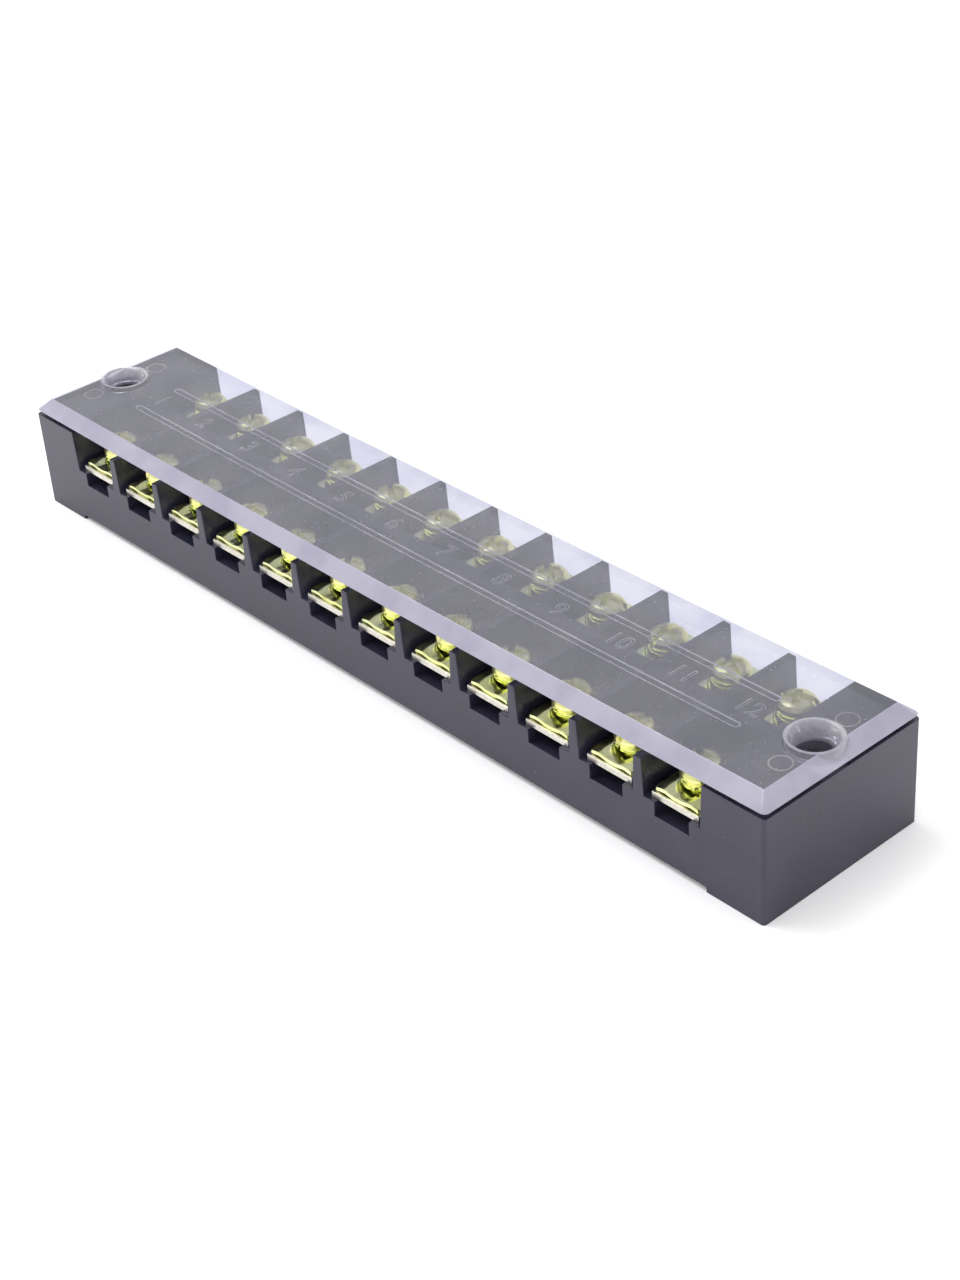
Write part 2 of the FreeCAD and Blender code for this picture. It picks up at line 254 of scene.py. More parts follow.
def make_piece(
    name: str,
    points: np.ndarray,
    patches: list[Patch],
    finishes: list[bpy.types.Material],
    crease: float = 35,
) -> bpy.types.Object:
    """A mesh object at the origin with its place in its points, smooth but for its creases.

    Args:
        name: name of the object and its mesh.
        points: millimetres, shape (n, 3).
        patches: the faces, with three or four columns of point numbers each.
        finishes: the materials that the patches name.
        crease: angle in degrees past which an edge is sharp.

    Returns:
        The linked object.
    """
    mesh = bpy.data.meshes.new(name)
    faces = [face for patch in patches for face in patch.faces.tolist()]
    mesh.from_pydata((points * MM).tolist(), [], faces)
    counts = [len(patch.faces) for patch in patches]
    make_smooth(mesh, crease)
    mesh.polygons.foreach_set("material_index", np.repeat([patch.finish for patch in patches], counts))
    for finish in finishes:
        mesh.materials.append(finish)
    return add_object(name, mesh)


# ---------------------------------------------------------------- finishes


class Shading:
    """Adds and joins nodes in one tree."""

    def __init__(self, tree: bpy.types.NodeTree) -> None:
        """Keeps the tree that the nodes go into."""
        self.tree = tree

    def node(self, kind: str, inputs: dict | None = None, **settings: object) -> bpy.types.Node:
        """Adds a node.

        Args:
            kind: the node's type without its ShaderNode prefix.
            inputs: values, or sockets to join, by input name or number.
            settings: properties of the node.

        Returns:
            The node.
        """
        node = self.tree.nodes.new(f"ShaderNode{kind}")
        for key, value in settings.items():
            setattr(node, key, value)
        for key, value in (inputs or {}).items():
            if isinstance(value, Socket):
                self.join(value, node.inputs[key])
            else:
                node.inputs[key].default_value = value
        return node

    def join(self, value: Socket, target: Socket) -> None:
        """Joins an output to an input."""
        self.tree.links.new(value, target)

    def math(self, operation: str, first: object, second: object = 0.0) -> Socket:
        """One step of arithmetic on two values or sockets."""
        return self.node("Math", {0: first, 1: second}, operation=operation).outputs[0]

    def line(self, value: Socket, slope: float, offset: object) -> Socket:
        """The value times slope plus offset."""
        return self.math("ADD", self.math("MULTIPLY", value, slope), offset)

    def seen(self) -> Socket:
        """1 for rays from the camera and rays through clear plastic, and 0 for the others."""
        path = self.node("LightPath")
        return self.math("MAXIMUM", path.outputs["Is Camera Ray"], path.outputs["Is Transmission Ray"])

    def bump(self, shader: bpy.types.Node, height: Socket, strength: float, distance: float) -> None:
        """Joins a bump to a shader, its distance in metres."""
        bump = self.node("Bump", {"Height": height, "Strength": strength, "Distance": distance})
        self.join(bump.outputs[0], shader.inputs["Normal"])

    def ramp(self, value: Socket, stops: tuple[tuple[float, Triple], ...]) -> Socket:
        """Colours spread over a value from 0 to 1.

        Args:
            value: what drives the ramp.
            stops: (position, colour) pairs in order.

        Returns:
            The colour socket.
        """
        node = self.node("ValToRGB", {"Fac": value})
        for extra in stops[2:]:
            node.color_ramp.elements.new(extra[0])
        for element, (position, colour) in zip(node.color_ramp.elements, stops):
            element.position = position
            element.color = (*colour, 1.0)
        return node.outputs["Color"]

    def between(self, value: Socket, low: float, high: float) -> Socket:
        """The value stretched so that low becomes 0 and high becomes 1, and clamped."""
        return self.node("MapRange", {"Value": value, "From Min": low, "From Max": high}).outputs[0]

    def mix(self, share: object, first: object, second: object) -> Socket:
        """A colour between two colours."""
        node = self.node("Mix", {"Factor": share}, data_type="RGBA")
        for socket, colour in ((node.inputs[6], first), (node.inputs[7], second)):
            if isinstance(colour, Socket):
                self.join(colour, socket)
            else:
                socket.default_value = (*colour, 1.0)
        return node.outputs[2]


def new_group(
    name: str, inputs: dict[str, float], outputs: dict[str, str]
) -> tuple[Shading, dict, bpy.types.Node]:
    """An empty shader node group with named inputs and outputs.

    Args:
        name: name of the group.
        inputs: value inputs with their defaults.
        outputs: output names with their socket types, Float or Color.

    Returns:
        The shading helper, the input sockets by name and the output node.
    """
    tree = bpy.data.node_groups.new(name, "ShaderNodeTree")
    for key, default in inputs.items():
        tree.interface.new_socket(key, in_out="INPUT", socket_type="NodeSocketFloat").default_value = default
    for key, kind in outputs.items():
        tree.interface.new_socket(key, in_out="OUTPUT", socket_type=f"NodeSocket{kind}")
    shading = Shading(tree)
    source = tree.nodes.new("NodeGroupInput")
    return shading, {key: source.outputs[key] for key in inputs}, tree.nodes.new("NodeGroupOutput")


def dust_group() -> bpy.types.NodeTree:
    """Fine specks of dust: cells whose random number passes the share, near their points."""
    s, given, end = new_group(
        "dust_specks", {"Cells per metre": 900.0, "Share": 0.25, "Speck": 0.22}, {"Mask": "Float"}
    )
    place = s.node("TexCoord").outputs["Object"]
    cells = s.node("TexVoronoi", {"Vector": place, "Scale": given["Cells per metre"]})
    chance = s.node("SeparateColor", {"Color": cells.outputs["Color"]}).outputs[0]
    chosen = s.math("LESS_THAN", chance, given["Share"])
    near = s.math("LESS_THAN", cells.outputs["Distance"], given["Speck"])
    s.join(s.math("MULTIPLY", chosen, near), end.inputs["Mask"])
    return s.tree


def grain_group() -> bpy.types.NodeTree:
    """Moulded plastic: a fine grain over broad, soft unevenness, as a height and a slow mask."""
    outputs = {"Height": "Float", "Broad": "Float"}
    s, given, end = new_group("moulded_grain", {"Grain per metre": 9000.0}, outputs)
    place = s.node("TexCoord").outputs["Object"]
    small = {"Vector": place, "Scale": given["Grain per metre"], "Detail": 3.0}
    fine = s.node("TexNoise", small).outputs["Fac"]
    broad = s.node("TexNoise", {"Vector": place, "Scale": 140.0, "Detail": 4.0}).outputs["Fac"]
    s.join(s.line(fine, 0.35, broad), end.inputs["Height"])
    s.join(broad, end.inputs["Broad"])
    return s.tree


def scratch_group() -> bpy.types.NodeTree:
    """Hair scratches: thin bands where a stretched, warped noise crosses its middle value."""
    s, given, end = new_group("hair_scratches", {"Width": 0.004, "Turn": 0.4}, {"Mask": "Float"})
    place = s.node("TexCoord").outputs["Object"]
    turn = s.node("CombineXYZ", {"Z": given["Turn"]}).outputs[0]
    laid = s.node("Mapping", {"Vector": place, "Rotation": turn, "Scale": (14.0, 260.0, 60.0)}).outputs[0]
    long = {"Vector": laid, "Scale": 1.0, "Detail": 2.0, "Distortion": 0.6}
    lines = s.node("TexNoise", long).outputs["Fac"]
    off = s.math("ABSOLUTE", s.math("SUBTRACT", lines, 0.5))
    thin = s.math("LESS_THAN", off, given["Width"])
    patches = s.node("TexNoise", {"Vector": place, "Scale": 130.0, "Detail": 1.0}).outputs["Fac"]
    s.join(s.math("MULTIPLY", thin, s.between(patches, 0.5, 0.62)), end.inputs["Mask"])
    return s.tree


def bloom_group() -> bpy.types.NodeTree:
    """Passivated zinc: slow clouds that shift the plating's colour, and a fine grain."""
    s, given, end = new_group(
        "zinc_bloom", {"Clouds per metre": 260.0, "Seed": 0.0}, {"Clouds": "Float", "Fine": "Float"}
    )
    place = s.node("TexCoord").outputs["Object"]
    clouds = s.node(
        "TexNoise",
        {
            "Vector": place,
            "W": given["Seed"],
            "Scale": given["Clouds per metre"],
            "Detail": 3.0,
            "Distortion": 0.8,
        },
        noise_dimensions="4D",
    ).outputs["Fac"]
    fine = s.node("TexNoise", {"Vector": place, "Scale": 5200.0, "Detail": 2.0}).outputs["Fac"]
    s.join(clouds, end.inputs["Clouds"])
    s.join(fine, end.inputs["Fine"])
    return s.tree


MAKERS = {"dust": dust_group, "grain": grain_group, "scratches": scratch_group, "bloom": bloom_group}
GROUPS: dict[str, bpy.types.NodeTree] = {}


def grouped(shading: Shading, name: str, values: dict[str, object]) -> bpy.types.Node:
    """Places a shared group in a material with its own values.

    Args:
        shading: the material's nodes.
        name: the group, made when it is first asked for.
        values: its inputs by name.

    Returns:
        The group's node.
    """
    if name not in GROUPS:
        GROUPS[name] = MAKERS[name]()
    node = shading.tree.nodes.new("ShaderNodeGroup")
    node.node_tree = GROUPS[name]
    for key, value in values.items():
        node.inputs[key].default_value = value
    return node


def new_material(name: str) -> tuple[bpy.types.Material, Shading, bpy.types.Node]:
    """A node material with one Principled shader and nothing else but its output."""
    material = bpy.data.materials.new(name)
    material.use_nodes = True
    shading = Shading(material.node_tree)
    return material, shading, material.node_tree.nodes["Principled BSDF"]


@dataclass(frozen=True)
class BlackMoulding:
    """Satin black thermoplastic with moulded grain, faint dust and slightly greyed patches."""

    name: str = "black_moulding"
    deep: Triple = (0.019, 0.0185, 0.036)
    worn: Triple = (0.031, 0.030, 0.056)
    dust: Triple = (0.16, 0.155, 0.17)
    sheen: Triple = (0.95, 0.93, 1.0)
    index: float = 1.60

    def build(self) -> bpy.types.Material:
        """Makes the material."""
        material, s, shader = new_material(self.name)
        grain = grouped(s, "grain", {"Grain per metre": 7000.0})
        specks = grouped(s, "dust", {"Cells per metre": 700.0, "Share": 0.10, "Speck": 0.08})
        body = s.mix(s.between(grain.outputs["Broad"], 0.35, 0.75), self.deep, self.worn)
        s.join(s.mix(specks.outputs[0], body, self.dust), shader.inputs["Base Color"])
        rough = s.line(grain.outputs["Broad"], slope=0.24, offset=0.18)
        s.join(rough, shader.inputs["Roughness"])
        s.bump(shader, grain.outputs["Height"], strength=0.05, distance=0.0002)
        shader.inputs["IOR"].default_value = self.index
        shader.inputs["Specular Tint"].default_value = (*self.sheen, 1.0)
        return material


@dataclass(frozen=True)
class ClearPlastic:
    """Clear styrene: a tint with clouds in it, dust specks, hair scratches and, for some, a rippled skin.

    The cover's plate, the band of its bevel, its moulded lines, pin marks and funnels are five settings.
    Only the plate's is plain clear plastic; the other four are paler and less clear, painted light for the
    glow and highlights that these parts of the clear moulding show.
    """

    name: str = "clear_cover"
    tint: Triple = (0.645, 0.645, 0.745)
    cloud: Triple = (0.545, 0.55, 0.675)
    haze: Triple = (0.90, 0.90, 0.96)
    transmission: float = 0.905
    roughness: float = 0.03
    marked: float = 0.4
    worn: float = 0.3
    dusty: float = 0.18
    ripple: float = 0.0
    index: float = 1.57

    def build(self) -> bpy.types.Material:
        """Makes the material."""
        material, s, shader = new_material(self.name)
        grain = grouped(s, "grain", {"Grain per metre": 2600.0})
        specks = grouped(s, "dust", {"Cells per metre": 1500.0, "Share": self.dusty, "Speck": 0.13})
        scratches = grouped(s, "scratches", {"Width": 0.0012, "Turn": 0.5})
        marks = s.math("MAXIMUM", specks.outputs[0], s.math("MULTIPLY", scratches.outputs[0], self.worn))
        body = s.mix(s.between(grain.outputs["Broad"], 0.40, 0.62), self.tint, self.cloud)
        s.join(s.mix(marks, body, self.haze), shader.inputs["Base Color"])
        rough = s.line(marks, slope=self.marked, offset=self.roughness)
        s.join(rough, shader.inputs["Roughness"])
        shader.inputs["Transmission Weight"].default_value = self.transmission
        shader.inputs["IOR"].default_value = self.index
        if self.ripple:
            s.bump(shader, grain.outputs["Broad"], strength=self.ripple, distance=0.001)
        return material


# Painted glow: the bevel band is the cover's clear plastic made milky and lavender, its colour standing in
# for the light that the real bevel refracts from round it.
BEVEL_BAND_PAINTED_GLOW = ClearPlastic(
    name="clear_bevel_painted_glow",
    tint=(0.45, 0.435, 0.54),
    cloud=(0.385, 0.37, 0.475),
    transmission=0.18,
    roughness=0.16,
    marked=0.3,
    worn=0.0,
    dusty=0.01,
)
# Painted highlight: the walls of the ribs and pole numbers are the same clear plastic made near-white and
# almost opaque, so that they show as the bright lines that real rib walls throw back.
MOULDED_LINE_PAINTED_HIGHLIGHT = ClearPlastic(
    name="moulded_line_painted_highlight",
    tint=(0.97, 0.97, 1.0),
    cloud=(0.80, 0.80, 0.86),
    transmission=0.05,
    roughness=0.35,
    marked=0.2,
    worn=0.0,
    dusty=0.0,
)
# Painted highlight: the pin rings are the clear plastic made pale, warm and almost opaque, standing in for
# the light that their walls catch.
PIN_LINE_PAINTED_HIGHLIGHT = ClearPlastic(
    name="pin_line_painted_highlight",
    tint=(0.90, 0.85, 0.75),
    cloud=(0.66, 0.62, 0.56),
    transmission=0.10,
    roughness=0.30,
    marked=0.2,
    worn=0.0,
    dusty=0.0,
)
# Partly painted glow: the pegs and funnels stay about two thirds clear, and the rest is pale lavender colour
# standing in for the bright crescents that the clear pegs refract.
FUNNEL_WALL_PAINTED_GLOW = ClearPlastic(
    name="funnel_wall_painted_glow",
    tint=(0.96, 0.95, 1.0),
    cloud=(0.70, 0.69, 0.82),
    transmission=0.68,
    roughness=0.03,
    marked=0.2,
    worn=0.0,
    dusty=0.0,
    ripple=0.9,
)


@dataclass(frozen=True)
class Plating:
    """Plated steel: passivated zinc clouds over a metal, with a fine pressed texture."""

    name: str
    stops: tuple[tuple[float, Triple], ...]
    seed: float = 0.0
    clouds: float = 260.0
    shine: float = 0.10
    bump: float = 0.05

    def build(self) -> bpy.types.Material:
        """Makes the material."""
        material, s, shader = new_material(self.name)
        bloom = grouped(s, "bloom", {"Clouds per metre": self.clouds, "Seed": self.seed})
        s.join(s.ramp(bloom.outputs["Clouds"], self.stops), shader.inputs["Base Color"])
        rough = s.line(bloom.outputs["Fine"], slope=0.20, offset=self.shine)
        s.join(rough, shader.inputs["Roughness"])
        s.bump(shader, bloom.outputs["Fine"], strength=self.bump, distance=0.0001)
        shader.inputs["Metallic"].default_value = 1.0
        return material


CLAMP_ZINC = Plating(
    "clamp_zinc",
    (
        (0.30, (0.62, 0.66, 0.24)),
        (0.44, (0.80, 0.84, 0.36)),
        (0.56, (0.90, 0.92, 0.50)),
        (0.68, (0.70, 0.80, 0.42)),
        (0.78, (0.78, 0.66, 0.42)),
    ),
    seed=1.0,
    clouds=180.0,
    shine=0.08,
)
SCREW_ZINC = Plating(
    "screw_zinc",
    (
        (0.30, (0.84, 0.84, 0.26)),
        (0.45, (0.97, 0.94, 0.46)),
        (0.60, (0.88, 0.90, 0.32)),
        (0.74, (0.96, 0.86, 0.40)),
    ),
    seed=4.0,
    shine=0.20,
)
WASHER_ZINC = Plating(
    "washer_zinc",
    ((0.32, (0.72, 0.80, 0.16)), (0.50, (0.82, 0.84, 0.30)), (0.68, (0.62, 0.74, 0.20))),
    seed=7.0,
    clouds=320.0,
)


@dataclass(frozen=True)
class StrapMetal:
    """Pale plated brass strip with rolling marks along Y."""

    name: str = "strap_metal"
    pale: Triple = (0.86, 0.83, 0.76)
    dull: Triple = (0.66, 0.62, 0.52)

    def build(self) -> bpy.types.Material:
        """Makes the material."""
        material, s, shader = new_material(self.name)
        place = s.node("TexCoord").outputs["Object"]
        laid = s.node("Mapping", {"Vector": place, "Scale": (3200.0, 90.0, 2400.0)}).outputs[0]
        marks = s.node("TexNoise", {"Vector": laid, "Scale": 1.0, "Detail": 3.0}).outputs["Fac"]
        colour = s.mix(s.between(marks, 0.35, 0.7), self.pale, self.dull)
        s.join(colour, shader.inputs["Base Color"])
        s.join(s.line(marks, slope=0.2, offset=0.2), shader.inputs["Roughness"])
        s.bump(shader, marks, strength=0.08, distance=0.0001)
        shader.inputs["Metallic"].default_value = 1.0
        return material


# ---------------------------------------------------------------- the strip


@dataclass
class Housing:
    """The black base moulding and the link straps in it.

    Between the end blocks its walls stop a little lower, clear of the relief under the cover. A half width
    or a height of beyond clears the whole base.
    """

    edge: float = 0.10
    strap_edge: float = 0.12
    wall_top: float = 15.65
    wall_reach: float = 70.7
    beyond: float = 20.0

    def build(self) -> None:
        """Dresses the base and the straps."""
        base = self.softened("base", "base_moulding", BlackMoulding().build(), self.edge)
        self.lowered(base)
        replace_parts(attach(base, "strip"), "base")
        straps = self.softened("link_straps", "link_strap_set", StrapMetal().build(), self.strap_edge)
        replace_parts(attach(straps, "strip"), "link_straps")

    def lowered(self, base: bpy.types.Object) -> None:
        """Takes the tops of the walls between the end blocks down to wall_top.

        Args:
            base: the piece, whose edge rounding stays live.
        """
        block = rounded_rectangle(self.wall_reach, self.beyond, radius=0.5, arc=2)
        rings = np.stack([at_height(block, z) for z in (self.wall_top, self.beyond)])
        room = make_piece("room", *tube(rings), [])
        rounding = base.modifiers["edges"]
        rounding.show_viewport = False
        cut = base.modifiers.new("cut", "BOOLEAN")
        cut.operation, cut.solver, cut.object = "DIFFERENCE", "EXACT", room
        mesh = evaluated_mesh(base)
        mesh.name = "base_moulding"
        base.modifiers.remove(cut)
        rounding.show_viewport = True
        make_smooth(mesh, CREASE)
        base.data = mesh
        bpy.data.objects.remove(room)

    def softened(
        self, node: str, name: str, material: bpy.types.Material, width: float
    ) -> bpy.types.Object:
        """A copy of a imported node, joined up and with its edges rounded.

        Args:
            node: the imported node.
            name: name of the new piece.
            material: its finish.
            width: how far the rounding reaches from each edge.

        Returns:
            The new piece.
        """
        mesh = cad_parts[node].data.copy()
        mesh.name = name
        level = math.radians(0.5)
        with opened(mesh) as shell:
            bmesh.ops.remove_doubles(shell, verts=shell.verts, dist=WELD)
            bmesh.ops.dissolve_limit(shell, angle_limit=level, verts=shell.verts, edges=shell.edges)
        mesh.materials.clear()
        mesh.materials.append(material)
        make_smooth(mesh, CREASE)
        piece = add_object(name, mesh)
        rounding = piece.modifiers.new("edges", "BEVEL")
        rounding.width = width * MM
        rounding.segments = 2
        rounding.limit_method = "ANGLE"
        rounding.angle_limit = math.radians(CREASE)
        rounding.use_clamp_overlap = False
        rounding.harden_normals = True
        return piece


@dataclass
class ClearLid:
    """The clear cover as one moulding: bevelled plate, hollow pegs, and the relief under it.

    Between its two pegs the plate hangs by sag * (1 - (x / mount)^2). It is first cut across into the short
    lengths that let it bend.
    """

    underside: float = 17.5
    half_length: float = 82.0
    half_width: float = 14.9
    corner: float = 0.9
    edge: float = 0.08
    top: float = 19.4
    bevel_run: float = 2.1
    sag: float = 0.55
    rib_row: float = 3.95
    rib_half: float = 0.55
    rib_reach: float = 67.65
    relief: float = 0.12
    mount_x: float = 77.0
    collar: float = 4.25
    collar_seat: float = 16.82
    rim: float = 0.04
    mouth: float = 3.35
    bore: float = 2.6
    bore_rows: int = 3
    peg: float = 3.7
    peg_end: float = 10.0
    ejector_y: float = 6.4
    ejector_radius: float = 1.55
    figure_size: float = 4.3
    figure_shift: float = -0.15
    figure_core: float = 0.03
    figure_slope: float = 0.12
    figure_slim: float = -0.05
    cut_reach: float = 66.0
    cuts: int = 23
    arc: int = 9
    steps: int = 96
    pin_steps: int = 48

    def build(self) -> None:
        """Joins the plate, the pegs and the relief into one closed moulding, bores it and hangs it."""
        settings = (ClearPlastic(), BEVEL_BAND_PAINTED_GLOW, MOULDED_LINE_PAINTED_HIGHLIGHT, PIN_LINE_PAINTED_HIGHLIGHT, FUNNEL_WALL_PAINTED_GLOW)
        finishes = [finish.build() for finish in settings]
        plate = make_piece("plate", *self.plate_skin(), finishes)
        added = [make_piece("figure", *self.figure(number), finishes) for number in range(1, POLES + 1)]
        bores = []
        for side in (-1, 1):
            added.append(make_piece("rib", *self.rib_skin(side), finishes))
            added.append(make_piece("peg", *self.peg_skin(side), finishes))
            bores.append(make_piece("bore", *self.bore_skin(side), finishes))
            for row in Side:
                added.append(make_piece("pin", *self.pin_mark(side * self.mount_x, row.value), finishes))
        mesh = self.joined(plate, added, bores)
        self.hang(mesh)
        self.shade(mesh)
        cover = add_object("cover_moulding", mesh)
        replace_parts(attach(cover, "lid"), "cover")

    @staticmethod
    def joined(
        plate: bpy.types.Object, added: list[bpy.types.Object], bores: list[bpy.types.Object]
    ) -> bpy.types.Mesh:
        """Unites the plate with the added solids, takes the bores out and removes the solids.

        Args:
            plate: the plate.
            added: solids that grow out of it.
            bores: solids to take away.

        Returns:
            The joined mesh.
        """
        sets = []
        for operation, solids in (("UNION", added), ("DIFFERENCE", bores)):
            tools = bpy.data.collections.new(operation)
            sets.append(tools)
            bpy.context.scene.collection.children.link(tools)
            for solid in solids:
                tools.objects.link(solid)
            step = plate.modifiers.new(operation, "BOOLEAN")
            step.operation = operation
            step.operand_type = "COLLECTION"
            step.collection = tools
            step.solver = "EXACT"
        mesh = evaluated_mesh(plate)
        mesh.name = "cover_moulding"
        for solid in (plate, *added, *bores):
            bpy.data.objects.remove(solid)
        for tools in sets:
            bpy.data.collections.remove(tools)
        return mesh

    def hang(self, mesh: bpy.types.Mesh) -> None:
        """Cuts a mesh across at even steps along X and lowers it by the sag.

        Args:
            mesh: the mesh, in metres.
        """
        with opened(mesh) as shell:
            for x in np.linspace(-self.cut_reach, self.cut_reach, self.cuts):
                everything = [*shell.verts, *shell.edges, *shell.faces]
                bmesh.ops.bisect_plane(shell, geom=everything, plane_co=(x * MM, 0, 0), plane_no=(1, 0, 0))
        points = triples(mesh.vertices, "co")
        points[:, 2] -= self.sag * np.clip(1 - (points[:, 0] / (self.mount_x * MM)) ** 2, 0, 1) * MM
        mesh.vertices.foreach_set("co", points.ravel())
        mesh.update()

    def shade(self, mesh: bpy.types.Mesh) -> None:
        """Shades the plate's level, upright and bevel faces flat and the rest smooth.

        Args:
            mesh: the mesh of the cover.
        """
        normals = np.abs(triples(mesh.polygons, "normal"))
        across, up = normals[:, :2].max(1), normals[:, 2]
        rise = self.top - self.underside - self.edge
        slope = np.array([rise, self.bevel_run]) / math.hypot(rise, self.bevel_run)
        bevel = across * slope[0] + up * slope[1] > 0.9995
        level, upright = up > 0.999, across > 0.9999
        # The sharp edges come first, because setting them clears what each face says of itself.
        mesh.set_sharp_from_angle(angle=math.radians(CREASE))
        mesh.polygons.foreach_set("use_smooth", ~(level | upright | bevel))

    def plate_skin(self) -> Skin:
        """The plate: a stack of rounded rectangles, each at its own inset and height, closed at both ends.

        Returns:
            Points and patches, the border in the bevel's finish, which paints on the band the glow that the
            bevel refracts.
        """
        top = self.top
        border = [
            (0.06, self.underside),
            (0.015, self.underside + 0.015),
            (0.0, self.underside + 0.06),
            (0.0, self.underside + self.edge),
            (self.bevel_run - 0.04, top - 0.035),
            (self.bevel_run + 0.03, top),
        ]
        rings = []
        for inset, z in border:
            radius = max(self.corner - inset, 0.15)
            half_x, half_y = self.half_length - inset, self.half_width - inset
            rings.append(at_height(rounded_rectangle(half_x, half_y, radius, self.arc), z))
        points, (band, ends) = tube(np.stack(rings))
        band.finish = CoverFinish.BEVEL
        return points, [band, ends]

    def rib_skin(self, side: int) -> Skin:
        """A rib with sloped walls and round ends, half sunk into the plate's underside.

        Args:
            side: 1 for the rear rib and -1 for the front rib.

        Returns:
            Points and patches, the walls in the moulded line's finish, a painted highlight.
        """
        rings = []
        for grow, z in ((-0.14, -self.relief), (0.12, 0.0), (0.12, 0.5)):
            half = self.rib_half + grow
            outline = rounded_rectangle(self.rib_reach + grow, half, half * 0.999, self.arc)
            rings.append(at_height(outline + (0.0, side * self.rib_row), self.underside + z))
        points, (walls, ends) = tube(np.stack(rings))
        walls.finish = CoverFinish.LINE
        return points, [walls, ends]

    def turned(self, side: int, profile: list[tuple[float, float]]) -> Skin:
        """A profile turned round the axis of a peg.

        Args:
            side: sign of the peg's place along X.
            profile: radii and heights, from the bottom up.

        Returns:
            Points and patches, the turned wall and the two ends.
        """
        centre = (side * self.mount_x, 0.0)
        return tube(np.stack([at_height(circle(centre, r, self.steps), z) for r, z in profile]))

    def peg_skin(self, side: int) -> Skin:
        """A peg and its collar as circles from the peg's end to the rim.

        Args:
            side: sign of its place along X.

        Returns:
            Points and patches in the funnel's finish, partly a painted glow.
        """
        rim = self.top + self.rim
        profile = [
            (self.peg - 0.4, self.peg_end),
            (self.peg, self.peg_end + 0.4),
            (self.peg, self.collar_seat),
            (self.collar - 0.05, self.collar_seat),
            (self.collar, self.collar_seat + 0.05),
            (self.collar, rim - 0.35),
            (self.collar - 0.05, rim - 0.16),
            (self.collar - 0.16, rim - 0.05),
            (self.collar - 0.35, rim),
        ]
        points, (wall, ends) = self.turned(side, profile)
        wall.finish = ends.finish = CoverFinish.FUNNEL
        return points, [wall, ends]

    def bore_skin(self, side: int) -> Skin:
        """The hole through a peg: a bore that opens into a funnel above the collar's seat.

        Args:
            side: sign of its place along X.

        Returns:
            Points and patches, all above the collar's seat in the funnel's finish, partly a painted glow.
        """
        rim = self.top + self.rim
        profile = [
            (self.bore + 0.2, self.peg_end - 1.0),
            (self.bore + 0.2, self.peg_end),
            (self.bore, self.peg_end + 0.2),
            (self.bore, self.collar_seat),
            (self.bore + 0.10, self.collar_seat + 0.8),
            (self.mouth - 0.35, rim - 0.85),
            (self.mouth, rim - 0.28),
            (self.mouth + 0.12, rim - 0.10),
            (self.mouth + 0.30, rim),
            (self.mouth + 0.30, rim + 1.0),
        ]
        points, (wall, ends) = self.turned(side, profile)
        below = self.bore_rows * self.steps
        return points, [Patch(wall.faces[:below]), Patch(wall.faces[below:], CoverFinish.FUNNEL), ends]

    def pin_mark(self, x: float, row: int) -> Skin:
        """A low ring under the plate, where an ejector pin stood: a small section carried round a circle.

        Args:
            x: its centre along the strip.
            row: sign of its place along Y.

        Returns:
            Points and one patch in the pin marks' finish, a painted highlight.
        """
        section = [(0.14, 0.1), (0.12, 0.0), (0.0, -0.08), (-0.12, 0.0), (-0.14, 0.1)]
        centre = (x, row * self.ejector_y)
        rings = [
            at_height(circle(centre, self.ejector_radius + r, self.pin_steps), self.underside + z)
            for r, z in section
        ]
        points, patches = inside_out(*hoop(np.stack(rings)))
        patches[0].finish = CoverFinish.PIN
        return points, patches

    def figure(self, number: int) -> Skin:
        """A pole number under the plate, with sloped walls, to be read from above.

        Args:
            number: the pole.

        Returns:
            Points and patches, the walls in the moulded line's finish, a painted highlight.
        """
        curve = bpy.data.curves.new("figure", "FONT")
        curve.body = str(number)
        curve.size = self.figure_size * MM
        curve.align_x = "CENTER"
        curve.align_y = "CENTER"
        curve.extrude = self.figure_core * MM
        curve.bevel_depth = self.figure_slope * MM
        curve.offset = self.figure_slim * MM
        curve.bevel_resolution = 0
        maker = add_object("maker", curve)
        mesh = evaluated_mesh(maker)
        bpy.data.objects.remove(maker)
        with opened(mesh) as shell:
            bmesh.ops.remove_doubles(shell, verts=shell.verts, dist=WELD)
            bmesh.ops.triangulate(shell, faces=shell.faces)
            bmesh.ops.recalc_face_normals(shell, faces=shell.faces)
        place = (pole_x(number) + self.figure_shift, 0.0, self.underside)
        points = triples(mesh.vertices, "co") / MM + place
        faces = triples(mesh.polygons, "vertices", int)
        a, b, c = (points[faces[:, k]] for k in range(3))
        normal = np.cross(b - a, c - a)
        level = np.abs(normal[:, 2]) > 0.99 * np.linalg.norm(normal, axis=1)
        bpy.data.meshes.remove(mesh)
        return points, [Patch(faces[level]), Patch(faces[~level], CoverFinish.LINE)]


